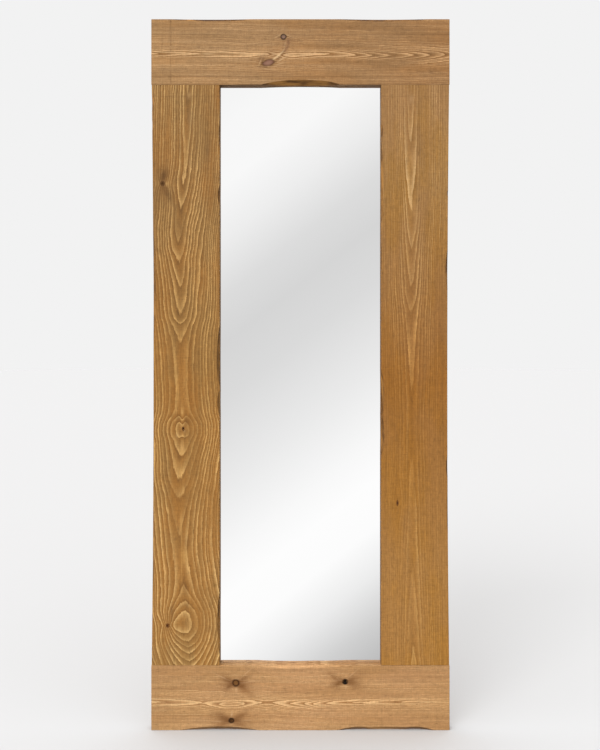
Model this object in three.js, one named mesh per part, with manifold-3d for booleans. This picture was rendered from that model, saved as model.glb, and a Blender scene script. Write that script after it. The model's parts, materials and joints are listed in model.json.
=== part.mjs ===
// Full-length floor mirror: four broad pine boards butted into a frame, a silvered glass
// held in a rebate at the back, and the fittings that keep and hang it.
// Millimetres, +Z up, the glass faces -Y, the origin is under the middle of the base.

import * as THREE from "three";
import { mergeVertices } from "three/addons/utils/BufferGeometryUtils.js";
import Module from "manifold-3d";

const wasm = await Module();
wasm.setup();

// Driving dimensions: the frame
const overallWidth = 746;
const overallHeight = 1778;
const boardThickness = 28;
const topRailHeight = 164;
const bottomRailHeight = 162;
const stileWidth = 170;
const stileSetback = 1; // the stiles stand this far in from the rails' ends
const waistDepth = 4.6; // how far a stile's outer edge bows in at half its height
const rebateWidth = 12;

// Driving dimensions: the glass and what packs it
const glassThickness = 4;
const backingThickness = 3;
const glassClearance = 3; // round the glass, in the rebate
const backingClearance = 1.5;
const blockLength = 30;
const blockInset = 70; // from the rebate's end to the middle of a setting block

// Driving dimensions: dowels in the corner joints
const dowelRadius = 6;
const dowelLength = 80;
const dowelSpacing = 90;
const dowelChamfer = 1.5;

// Driving dimensions: turn buttons and screws
const buttonLength = 42;
const buttonWidth = 13;
const buttonThickness = 2.5;
const buttonEase = 0.4; // rounding of a button's edges
const buttonSetback = 14; // from the rebate's edge to the button's screw
const buttonEndInset = 190; // from the rebate's end to the first button on a stile
const buttonsOnStile = 3;
const screwRadius = 2;
const screwHeadRadius = 4;
const screwHeadHeight = 2.4;
const screwDepth = 18; // in the wood
const recessLength = 4.6;
const recessWidth = 1.1;
const recessDepth = 1.3;

// Driving dimensions: hangers and wall pads
const strapWidth = 20;
const strapThickness = 1.5;
const strapLength = 72; // from the ring's bar to the strap's lower end
const strapHoles = [36, 60]; // below the ring's bar
const wireRadius = 2;
const ringLeg = 6; // straight part of the ring below its bar
const ringSideGap = 0.6; // between the strap and the ring's legs
const ringSteps = 22; // along the bent wire
const hangerDrop = 420; // from the top of the frame to the ring's bar
const padRadius = 11;
const padEase = 1.2;
const padInset = 45;

// Clearances
const touchGap = 0.3; // between two pieces that meet
const wallGap = 0.4; // between the hangers and the wall that the pads rest on
const holeEndGap = 1; // past the end of a dowel or screw
const cutOver = 5; // how far a cutting tool runs past the face that it opens

// Worked out from the sizes above
const rollRadius = wireRadius + touchGap + strapThickness;
const padThickness = 2 * rollRadius + wallGap;
const depth = boardThickness + touchGap + padThickness;
const frontY = -depth / 2;
const backY = frontY + boardThickness;
const openingHalf = overallWidth / 2 - stileSetback - stileWidth;
const rebateHalf = openingHalf + rebateWidth;
const openingBottom = bottomRailHeight;
const openingTop = overallHeight - topRailHeight;
const rebateBottom = openingBottom - rebateWidth;
const rebateTop = openingTop + rebateWidth;
const rebateDepth = touchGap + glassThickness + touchGap + backingThickness;
const rebateY = backY - rebateDepth;
const stileCentre = openingHalf + stileWidth / 2;
const headY = touchGap + buttonThickness + touchGap; // under a button screw's head

// ---- Solids and meshes ----

function solidOf(geometry) {
  const plain = geometry.clone();
  plain.deleteAttribute("normal");
  plain.deleteAttribute("uv");
  const merged = mergeVertices(plain, 1e-4);
  const index = merged.index.array;
  const kept = [];
  for (let i = 0; i < index.length; i += 3) {
    const [a, b, c] = [index[i], index[i + 1], index[i + 2]];
    if (a !== b && b !== c && c !== a) kept.push(a, b, c);
  }
  return new wasm.Manifold(new wasm.Mesh({
    numProp: 3,
    vertProperties: new Float32Array(merged.attributes.position.array),
    triVerts: new Uint32Array(kept),
  }));
}

function geometryOf(solid) {
  const mesh = solid.getMesh();
  const geometry = new THREE.BufferGeometry();
  geometry.setAttribute("position", new THREE.BufferAttribute(new Float32Array(mesh.vertProperties), 3));
  geometry.setIndex(new THREE.BufferAttribute(new Uint32Array(mesh.triVerts), 1));
  const faceted = geometry.toNonIndexed();
  faceted.computeVertexNormals();
  return faceted;
}

function cut(geometry, tools) {
  return geometryOf(tools.reduce((solid, tool) => solid.subtract(solidOf(tool)), solidOf(geometry)));
}

function join(first, second) {
  return geometryOf(solidOf(first).add(solidOf(second)));
}

// A box given by its limits along X, Y and Z.
function block([x0, x1], [y0, y1], [z0, z1]) {
  const box = new THREE.BoxGeometry(x1 - x0, y1 - y0, z1 - z0);
  box.translate((x0 + x1) / 2, (y0 + y1) / 2, (z0 + z1) / 2);
  return box;
}

// A solid of revolution about Y from [radius, height] pairs that start and end on the axis.
function turned(profile, segments) {
  return new THREE.LatheGeometry(profile.map(([r, y]) => new THREE.Vector2(r, y)), segments);
}

function named(name, geometry, material) {
  const mesh = new THREE.Mesh(geometry, material);
  mesh.name = name;
  return mesh;
}

const sides = [
  { side: "left", sign: -1 },
  { side: "right", sign: 1 },
];
const ends = [
  { end: "top", joint: openingTop, sign: 1 },
  { end: "bottom", joint: openingBottom, sign: -1 },
];

function finish(color, roughness, metalness) {
  return new THREE.MeshStandardMaterial({ color, roughness, metalness });
}

const topRailPine = finish(0xab845a, 0.55, 0);
const bottomRailPine = finish(0xbe9063, 0.55, 0);
const leftStilePine = finish(0xa97c4c, 0.55, 0);
const rightStilePine = finish(0xab7a46, 0.55, 0);
const beech = finish(0xd2ab7c, 0.7, 0);
const silvered = finish(0xe4e6e8, 0.03, 1);
const hardboard = finish(0x6e4c31, 0.8, 0);
const zincSteel = finish(0xb9bcc0, 0.35, 1);
const rubber = finish(0x2a2a2c, 0.85, 0);
const felt = finish(0x5a4a3c, 0.95, 0);

const group = new THREE.Group();

// ---- Where things go: dowels, buttons, hangers ----

const dowelPlaces = sides.flatMap((s) => ends.flatMap((e) => [
  { name: `${e.end}_${s.side}_inner`, x: s.sign * (stileCentre - dowelSpacing / 2), s, e },
  { name: `${e.end}_${s.side}_outer`, x: s.sign * (stileCentre + dowelSpacing / 2), s, e },
]));
const dowelY = (frontY + backY) / 2;

// turn: the angle about Y that points the button's nose at the glass
function buttonPlacesOnStile({ side, sign }) {
  const first = rebateBottom + buttonEndInset;
  const step = (rebateTop - buttonEndInset - first) / (buttonsOnStile - 1);
  return Array.from({ length: buttonsOnStile }, (_, i) => ({
    name: `${side}_${i + 1}`,
    board: side,
    x: sign * (rebateHalf + buttonSetback),
    z: first + i * step,
    turn: sign > 0 ? Math.PI : 0,
  }));
}

const buttonPlaces = [
  ...sides.flatMap(buttonPlacesOnStile),
  { name: "top", board: "top", x: 0, z: rebateTop + buttonSetback, turn: Math.PI / 2 },
  { name: "bottom", board: "bottom", x: 0, z: rebateBottom - buttonSetback, turn: -Math.PI / 2 },
];

const hangerZ = overallHeight - hangerDrop;
const strapScrewPlaces = sides.flatMap(({ side, sign }) => strapHoles.map((drop, i) => ({
  name: `${side}_${i + 1}`,
  board: side,
  x: sign * stileCentre,
  z: hangerZ - drop,
})));

// ---- Holes in the boards ----

function dowelHole(place) {
  const length = dowelLength + 2 * holeEndGap;
  const hole = new THREE.CylinderGeometry(dowelRadius + touchGap, dowelRadius + touchGap, length, 16);
  hole.rotateX(Math.PI / 2);
  hole.translate(place.x, dowelY, place.e.joint);
  return hole;
}

function screwHole(place) {
  const radius = screwRadius + touchGap;
  const length = screwDepth + holeEndGap + cutOver;
  const hole = new THREE.CylinderGeometry(radius, radius, length, 12);
  hole.translate(place.x, backY + cutOver - length / 2, place.z);
  return hole;
}

function screwHolesIn(board) {
  return [...buttonPlaces, ...strapScrewPlaces].filter((p) => p.board === board).map(screwHole);
}

// ---- The four boards ----

function addRail(name, pine, end, zRange, rebateZ) {
  const half = overallWidth / 2;
  const rebate = block([-rebateHalf, rebateHalf], [rebateY, backY + cutOver], rebateZ);
  const dowelHoles = dowelPlaces.filter((p) => p.e.end === end).map(dowelHole);
  const board = block([-half, half], [frontY, backY], zRange);
  group.add(named(name, cut(board, [rebate, ...dowelHoles, ...screwHolesIn(end)]), pine));
}

addRail("top_rail", topRailPine, "top", [openingTop, overallHeight], [openingTop - cutOver, rebateTop]);
addRail("bottom_rail", bottomRailPine, "bottom", [0, openingBottom], [rebateBottom, openingBottom + cutOver]);

function addStile(name, pine, { side, sign }) {
  const inner = sign * openingHalf;
  const outer = sign * (openingHalf + stileWidth);
  const low = openingBottom + touchGap;
  const high = openingTop - touchGap;
  const outline = new THREE.Shape();
  outline.moveTo(inner, low);
  outline.lineTo(outer, low);
  outline.quadraticCurveTo(outer - sign * 2 * waistDepth, (low + high) / 2, outer, high);
  outline.lineTo(inner, high);
  const board = new THREE.ExtrudeGeometry(outline, {
    depth: boardThickness,
    bevelEnabled: false,
    curveSegments: 14,
  });
  board.rotateX(Math.PI / 2);
  board.translate(0, backY, 0);
  const rebateX = [sign * rebateHalf, inner - sign * cutOver].sort((a, b) => a - b);
  const rebate = block(rebateX, [rebateY, backY + cutOver], [low - cutOver, high + cutOver]);
  const dowelHoles = dowelPlaces.filter((p) => p.s.side === side).map(dowelHole);
  group.add(named(name, cut(board, [rebate, ...dowelHoles, ...screwHolesIn(side)]), pine));
}

addStile("left_stile", leftStilePine, sides[0]);
addStile("right_stile", rightStilePine, sides[1]);

// ---- Dowels ----

function addDowel(place) {
  const half = dowelLength / 2;
  const dowel = turned([
    [0, -half],
    [dowelRadius - dowelChamfer, -half],
    [dowelRadius, -half + dowelChamfer],
    [dowelRadius, half - dowelChamfer],
    [dowelRadius - dowelChamfer, half],
    [0, half],
  ], 16);
  dowel.rotateX(Math.PI / 2);
  const mesh = named(`dowel_${place.name}`, geometryOf(solidOf(dowel)), beech);
  mesh.position.set(place.x, dowelY, place.e.joint);
  group.add(mesh);
}

dowelPlaces.forEach(addDowel);

// ---- Glass, setting blocks and backing ----

const glassFront = rebateY + touchGap;
const glassBack = glassFront + glassThickness;
const glassHalf = rebateHalf - glassClearance;
const glassBottom = rebateBottom + glassClearance;
const glassTop = rebateTop - glassClearance;
const glass = block([-glassHalf, glassHalf], [glassFront, glassBack], [glassBottom, glassTop]);
group.add(named("mirror_glass", glass, silvered));

for (const { side, sign } of sides) {
  const middle = sign * (rebateHalf - blockInset);
  const settingBlock = block(
    [middle - blockLength / 2, middle + blockLength / 2],
    [glassFront, glassBack],
    [rebateBottom + touchGap, glassBottom - touchGap],
  );
  group.add(named(`setting_block_${side}`, settingBlock, rubber));
}

const backingHalf = rebateHalf - backingClearance;
const backing = block(
  [-backingHalf, backingHalf],
  [glassBack + touchGap, backY],
  [rebateBottom + backingClearance, rebateTop - backingClearance],
);
group.add(named("backing_board", backing, hardboard));

// ---- Fittings on the back: y is 0 on the boards' back face and points away from it ----

const fittings = new THREE.Group();
fittings.position.y = backY;
group.add(fittings);

function screwGeometry(underHead) {
  const shank = underHead + screwDepth;
  const pan = turned([
    [0, -shank],
    [screwRadius, -shank + 2 * screwRadius],
    [screwRadius, 0],
    [screwHeadRadius, 0],
    [screwHeadRadius, 0.45 * screwHeadHeight],
    [0.85 * screwHeadRadius, 0.8 * screwHeadHeight],
    [0.5 * screwHeadRadius, screwHeadHeight],
    [0, screwHeadHeight],
  ], 16);
  const along = [-recessLength / 2, recessLength / 2];
  const across = [-recessWidth / 2, recessWidth / 2];
  const down = [screwHeadHeight - recessDepth, screwHeadHeight + cutOver];
  return cut(pan, [block(along, down, across), block(across, down, along)]);
}

function addScrew(name, place, underHead) {
  const screw = named(name, screwGeometry(underHead), zincSteel);
  screw.position.set(place.x, underHead, place.z);
  fittings.add(screw);
}

// A flat strip with round ends, its screw hole at the origin and its nose along +X.
function buttonGeometry() {
  const radius = buttonWidth / 2 - buttonEase;
  const nose = buttonLength - buttonWidth;
  const outline = new THREE.Shape();
  outline.absarc(0, 0, radius, Math.PI / 2, 1.5 * Math.PI);
  outline.absarc(nose, 0, radius, -Math.PI / 2, Math.PI / 2);
  const hole = new THREE.Path();
  hole.absarc(0, 0, screwRadius + touchGap + buttonEase, 0, 2 * Math.PI, true);
  outline.holes.push(hole);
  const strip = new THREE.ExtrudeGeometry(outline, {
    depth: buttonThickness - 2 * buttonEase,
    bevelThickness: buttonEase,
    bevelSize: buttonEase,
    bevelSegments: 1,
    curveSegments: 7,
  });
  strip.translate(0, 0, buttonEase);
  strip.rotateX(-Math.PI / 2);
  return geometryOf(solidOf(strip));
}

for (const place of buttonPlaces) {
  const button = named(`turn_button_${place.name}`, buttonGeometry(), zincSteel);
  button.position.set(place.x, touchGap, place.z);
  button.rotation.y = place.turn;
  fittings.add(button);
  addScrew(`button_screw_${place.name}`, place, headY);
}

// ---- Hangers: a strap rolled round the bar of a D-shaped wire ring ----

const barY = touchGap + rollRadius;
const ringHalf = strapWidth / 2 + ringSideGap + wireRadius;

function strapGeometry() {
  const radius = strapWidth / 2;
  const outline = new THREE.Shape();
  outline.moveTo(radius, 0);
  outline.lineTo(-radius, 0);
  outline.absarc(0, radius - strapLength, radius, Math.PI, 2 * Math.PI);
  for (const drop of strapHoles) {
    const hole = new THREE.Path();
    hole.absarc(0, -drop, screwRadius + touchGap, 0, 2 * Math.PI, true);
    outline.holes.push(hole);
  }
  const plate = new THREE.ExtrudeGeometry(outline, {
    depth: strapThickness,
    bevelEnabled: false,
    curveSegments: 7,
  });
  plate.rotateX(Math.PI / 2);
  plate.translate(0, strapThickness + touchGap - barY, 0);
  const boreRadius = wireRadius + touchGap;
  const roll = new THREE.CylinderGeometry(rollRadius, rollRadius, strapWidth, 18);
  const bore = new THREE.CylinderGeometry(boreRadius, boreRadius, strapWidth + 2 * cutOver, 18);
  roll.rotateZ(Math.PI / 2);
  bore.rotateZ(Math.PI / 2);
  return cut(join(plate, roll), [bore]);
}

function ringGeometry() {
  const route = new THREE.Path();
  route.moveTo(-ringHalf, 0);
  route.lineTo(-ringHalf, -ringLeg);
  route.absarc(0, -ringLeg, ringHalf, Math.PI, 2 * Math.PI);
  route.lineTo(ringHalf, 0);
  const points = route.getSpacedPoints(ringSteps).map((p) => new THREE.Vector3(p.x, 0, p.y));
  const wire = new THREE.Shape();
  wire.absarc(0, 0, wireRadius, 0, 2 * Math.PI);
  const bow = new THREE.ExtrudeGeometry(wire, {
    extrudePath: new THREE.CatmullRomCurve3(points),
    steps: ringSteps,
    curveSegments: 5,
  });
  const bar = new THREE.CylinderGeometry(wireRadius, wireRadius, 2 * (ringHalf + wireRadius), 12);
  bar.rotateZ(Math.PI / 2);
  return join(bow, bar);
}

for (const { side, sign } of sides) {
  const strap = named(`hanger_strap_${side}`, strapGeometry(), zincSteel);
  const ring = named(`hanger_ring_${side}`, ringGeometry(), zincSteel);
  strap.position.set(sign * stileCentre, barY, hangerZ);
  ring.position.copy(strap.position);
  fittings.add(strap, ring);
}

for (const place of strapScrewPlaces) {
  addScrew(`hanger_screw_${place.name}`, place, touchGap + strapThickness + touchGap);
}

// ---- Felt pads that keep the back off the wall ----

for (const { side, sign } of sides) {
  for (const { end, sign: up } of ends) {
    const pad = turned([
      [0, 0],
      [padRadius, 0],
      [padRadius, padThickness - padEase],
      [padRadius - padEase, padThickness],
      [0, padThickness],
    ], 24);
    const mesh = named(`wall_pad_${end}_${side}`, geometryOf(solidOf(pad)), felt);
    const z = up > 0 ? overallHeight - padInset : padInset;
    mesh.position.set(sign * (overallWidth / 2 - padInset), touchGap, z);
    fittings.add(mesh);
  }
}

export default group;
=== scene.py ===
import json
import math
import bpy
from mathutils import Matrix, Vector


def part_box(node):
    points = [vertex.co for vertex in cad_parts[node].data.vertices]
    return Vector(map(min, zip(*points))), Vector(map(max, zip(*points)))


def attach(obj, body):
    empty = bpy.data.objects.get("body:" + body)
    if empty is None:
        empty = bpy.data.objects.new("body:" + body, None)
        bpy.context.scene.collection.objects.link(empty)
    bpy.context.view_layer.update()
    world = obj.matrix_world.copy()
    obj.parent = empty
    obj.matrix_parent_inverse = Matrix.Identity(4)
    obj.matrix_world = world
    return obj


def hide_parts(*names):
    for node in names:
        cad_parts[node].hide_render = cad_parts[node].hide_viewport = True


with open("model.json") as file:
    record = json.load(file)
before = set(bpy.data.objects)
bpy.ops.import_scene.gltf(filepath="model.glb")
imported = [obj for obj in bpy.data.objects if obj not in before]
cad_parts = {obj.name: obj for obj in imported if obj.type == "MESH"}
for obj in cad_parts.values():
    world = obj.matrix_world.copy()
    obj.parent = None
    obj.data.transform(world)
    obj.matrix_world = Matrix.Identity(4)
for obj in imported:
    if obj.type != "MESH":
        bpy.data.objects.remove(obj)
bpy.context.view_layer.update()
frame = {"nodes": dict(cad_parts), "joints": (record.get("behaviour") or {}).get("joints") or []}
nodes = frame["nodes"]
print("frame loaded:", len(nodes), "nodes")

mm = 0.001


# small helpers for working with objects

def deselectAll():
    bpy.ops.object.select_all(action="DESELECT")


def makeActive(piece):
    deselectAll()
    piece.select_set(True)
    bpy.context.view_layer.objects.active = piece


def nameIt(name):
    piece = bpy.context.object
    piece.name = name
    piece.data.name = name
    return piece


def settle(piece):  # puts the place, turn and size into the mesh
    makeActive(piece)
    bpy.ops.object.transform_apply(location=True, rotation=True, scale=True)


def editing(piece, pick="NONE"):
    makeActive(piece)
    bpy.ops.object.mode_set(mode="EDIT")
    bpy.ops.mesh.select_mode(type="VERT")
    bpy.ops.mesh.select_all(action="SELECT" if pick == "ALL" else "DESELECT")


def doneEditing():
    bpy.ops.object.mode_set(mode="OBJECT")


def pickVerts(piece, test):
    makeActive(piece)
    for face in piece.data.polygons:
        face.select = False
    for edge in piece.data.edges:
        edge.select = False
    for vert in piece.data.vertices:
        vert.select = test(vert.co)
    bpy.ops.object.mode_set(mode="EDIT")
    bpy.ops.mesh.select_mode(type="VERT")


def pickEdges(piece, test):  # the test takes an edge and its two ends
    makeActive(piece)
    mesh = piece.data
    bpy.context.tool_settings.mesh_select_mode = (False, True, False)
    for part in (*mesh.polygons, *mesh.vertices):
        part.select = False
    for edge in mesh.edges:
        edge.select = test(edge, *(mesh.vertices[i].co for i in edge.vertices))
    bpy.ops.object.mode_set(mode="EDIT")


def cutAway(piece, cutter, operation="DIFFERENCE"):
    makeActive(piece)
    modifier = piece.modifiers.new("cut", "BOOLEAN")
    modifier.operation = operation
    modifier.solver = "EXACT"
    modifier.object = cutter
    bpy.ops.object.modifier_apply(modifier=modifier.name)
    bpy.data.objects.remove(cutter, do_unlink=True)


def smooth(piece, angle=32):
    makeActive(piece)
    bpy.ops.object.shade_smooth_by_angle(angle=math.radians(angle))


def paint(piece, material):
    piece.data.materials.clear()
    piece.data.materials.append(material)


def placeCopy(master, name, place, turn=0.0):
    piece = bpy.data.objects.new(name, master.data.copy())
    bpy.context.collection.objects.link(piece)
    piece.data.name = name
    piece.data.transform(Matrix.Translation(place) @ Matrix.Rotation(turn, 4, "Y"))
    return piece


def middleOf(name):
    low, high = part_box(name)
    return (Vector(low) + Vector(high)) / 2


# shader helpers: a Wire is a socket that can stand in an expression

class Wire:
    def __init__(self, maker, socket):
        self.maker = maker
        self.socket = socket

    def __add__(self, other):
        return self.maker.maths("ADD", self, other)

    def __radd__(self, other):
        return self.maker.maths("ADD", other, self)

    def __sub__(self, other):
        return self.maker.maths("SUBTRACT", self, other)

    def __rsub__(self, other):
        return self.maker.maths("SUBTRACT", other, self)

    def __mul__(self, other):
        return self.maker.maths("MULTIPLY", self, other)

    def __rmul__(self, other):
        return self.maker.maths("MULTIPLY", other, self)

    def __truediv__(self, other):
        return self.maker.maths("DIVIDE", self, other)

    def __rtruediv__(self, other):
        return self.maker.maths("DIVIDE", other, self)

    def __pow__(self, other):
        return self.maker.maths("POWER", self, other)

    def __neg__(self):
        return self.maker.maths("MULTIPLY", self, -1.0)


class Finish:
    def __init__(self, name):
        self.material = bpy.data.materials.new(name)
        self.material.use_nodes = True
        self.tree = self.material.node_tree
        self.tree.nodes.clear()

    def node(self, kind, settings=None, inputs=None, output=0):
        made = self.tree.nodes.new(kind)
        for key, value in (settings or {}).items():
            if key == "stops":
                self.setStops(made.color_ramp, value)
            elif key == "points":
                self.setPoints(made.mapping, value)
            else:
                setattr(made, key, value)
        for key, value in (inputs or {}).items():
            socket = made.inputs[key]
            if isinstance(value, Wire):
                self.tree.links.new(value.socket, socket)
            else:
                socket.default_value = value
        return Wire(self, made.outputs[output])

    def setStops(self, ramp, stops):
        while len(ramp.elements) > 1:
            ramp.elements.remove(ramp.elements[-1])
        for count, (place, colour) in enumerate(stops):
            element = ramp.elements[0] if count == 0 else ramp.elements.new(place)
            element.position = place
            element.color = (*colour, 1.0)

    def setPoints(self, mapping, points):
        curve = mapping.curves[0]
        curve.points[0].location = points[0]
        curve.points[1].location = points[-1]
        for point in points[1:-1]:
            curve.points.new(*point)
        mapping.update()

    def maths(self, operation, first, second=0.0, third=0.0):
        return self.node("ShaderNodeMath", {"operation": operation}, {0: first, 1: second, 2: third})

    def step(self, value, low, high, start=0.0, end=1.0):
        return self.node(
            "ShaderNodeMapRange",
            {"interpolation_type": "SMOOTHSTEP"},
            {"Value": value, "From Min": low, "From Max": high, "To Min": start, "To Max": end},
        )

    def mix(self, factor, first, second, blend="MIX"):
        return self.node(
            "ShaderNodeMix",
            {"data_type": "RGBA", "blend_type": blend, "clamp_factor": True},
            {0: factor, 6: first, 7: second},
            output=2,
        )

    def stretch(self, vector, sizes):
        return self.node("ShaderNodeVectorMath", {"operation": "MULTIPLY"}, {0: vector, 1: sizes})

    def shift(self, vector, other):
        return self.node("ShaderNodeVectorMath", {"operation": "ADD"}, {0: vector, 1: other})

    def noise(self, vector, scale=1.0, detail=2.0, rough=0.5, output="Fac"):
        return self.node(
            "ShaderNodeTexNoise",
            {"noise_dimensions": "3D"},
            {"Vector": vector, "Scale": scale, "Detail": detail, "Roughness": rough},
            output=output,
        )

    def place(self):
        return self.node("ShaderNodeTexCoord", output="Object")

    def split(self, vector):
        made = self.tree.nodes.new("ShaderNodeSeparateXYZ")
        self.tree.links.new(vector.socket, made.inputs[0])
        return [Wire(self, socket) for socket in made.outputs]

    def bump(self, height, strength, distance):
        return self.node("ShaderNodeBump", {},
                         {"Height": height, "Strength": strength, "Distance": distance})

    def surface(self, **inputs):
        names = {key.replace("_", " "): value for key, value in inputs.items()}
        shader = self.node("ShaderNodeBsdfPrincipled", {}, names)
        output = self.tree.nodes.new("ShaderNodeOutputMaterial")
        self.tree.links.new(shader.socket, output.inputs["Surface"])
        return self.material


def tint(code):  # "#rrggbb" as Blender's linear colour
    parts = [int(code[i:i + 2], 16) / 255 for i in (1, 3, 5)]
    linear = [p / 12.92 if p <= 0.04045 else ((p + 0.055) / 1.055) ** 2.4 for p in parts]
    return (*linear, 1.0)


def tintGrey(value):  # a grey of 255 as Blender's linear colour
    linear = ((value / 255 + 0.055) / 1.055) ** 2.4
    return (linear, linear, linear)


# pine: growth rings round a pith line behind the face, pushed aside by knots.
# Along and across are measured from the board's middle, in metres, and depth counts rings to the pith.
# narrow squeezes the figure across the board, pointed sharpens its flames, sharp thins the pale rings,
# flame brightens them over the pith, and faint is where along the board they fade in.
# A knot's fan makes rings meet at it from one side. A mark is its place along and across, half its
# length and width, its strength and its colour, and may end with a tilt in degrees.

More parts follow.
